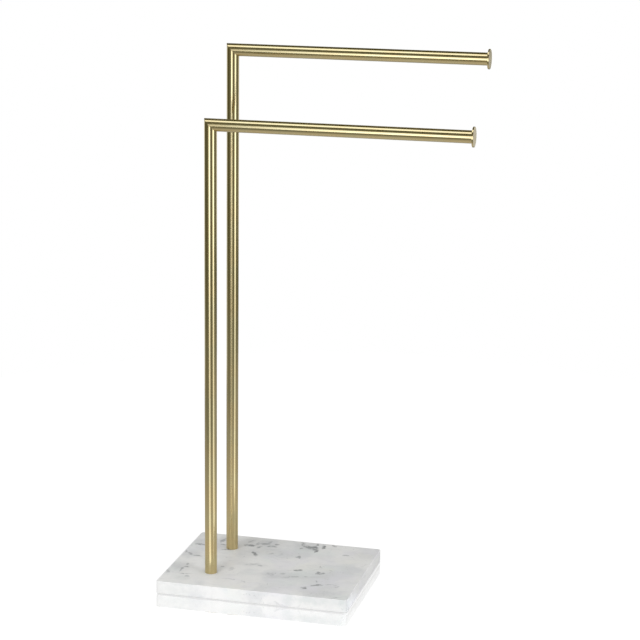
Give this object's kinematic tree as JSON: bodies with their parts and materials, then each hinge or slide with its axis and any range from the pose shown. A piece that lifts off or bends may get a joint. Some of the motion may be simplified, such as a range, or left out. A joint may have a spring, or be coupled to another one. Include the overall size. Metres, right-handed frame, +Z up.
{
  "type": "freestanding towel stand",
  "caption": "Freestanding towel stand: stepped L-shaped round tubes in brushed pale gold, each a tall upright with a level rail ending in a thin disc, on a rectangular marble-look slab.",
  "frame": {"origin": "middle of the slab's outline, on the floor, in the anti-slip sheet's lower face", "axes": "+Z up, +X along the rails towards their free ends, +Y from the lower front rail to the higher back rail"},
  "size_m": [0.466, 0.236, 0.837],
  "materials": {
    "marble": "honed white and grey marble look",
    "foam": "matt closed-cell foam",
    "brushed_gold": "brushed pale gold",
    "turned_steel": "turned, bare",
    "zinc_plated_steel": "bright zinc plate"
  },
  "bodies": {
    "root": {"base_slab": "marble", "anti_slip_sheet": "foam", "front_upright": "brushed_gold", "back_upright": "brushed_gold", "front_rail": "brushed_gold", "back_rail": "brushed_gold", "front_rail_end_disc": "brushed_gold", "back_rail_end_disc": "brushed_gold", "front_foot_insert": "turned_steel", "back_foot_insert": "turned_steel", "front_fixing_bolt": "zinc_plated_steel", "back_fixing_bolt": "zinc_plated_steel", "front_plain_washer": "zinc_plated_steel", "back_plain_washer": "zinc_plated_steel", "front_spring_washer": "zinc_plated_steel", "back_spring_washer": "zinc_plated_steel"}
  },
  "joints": []
}
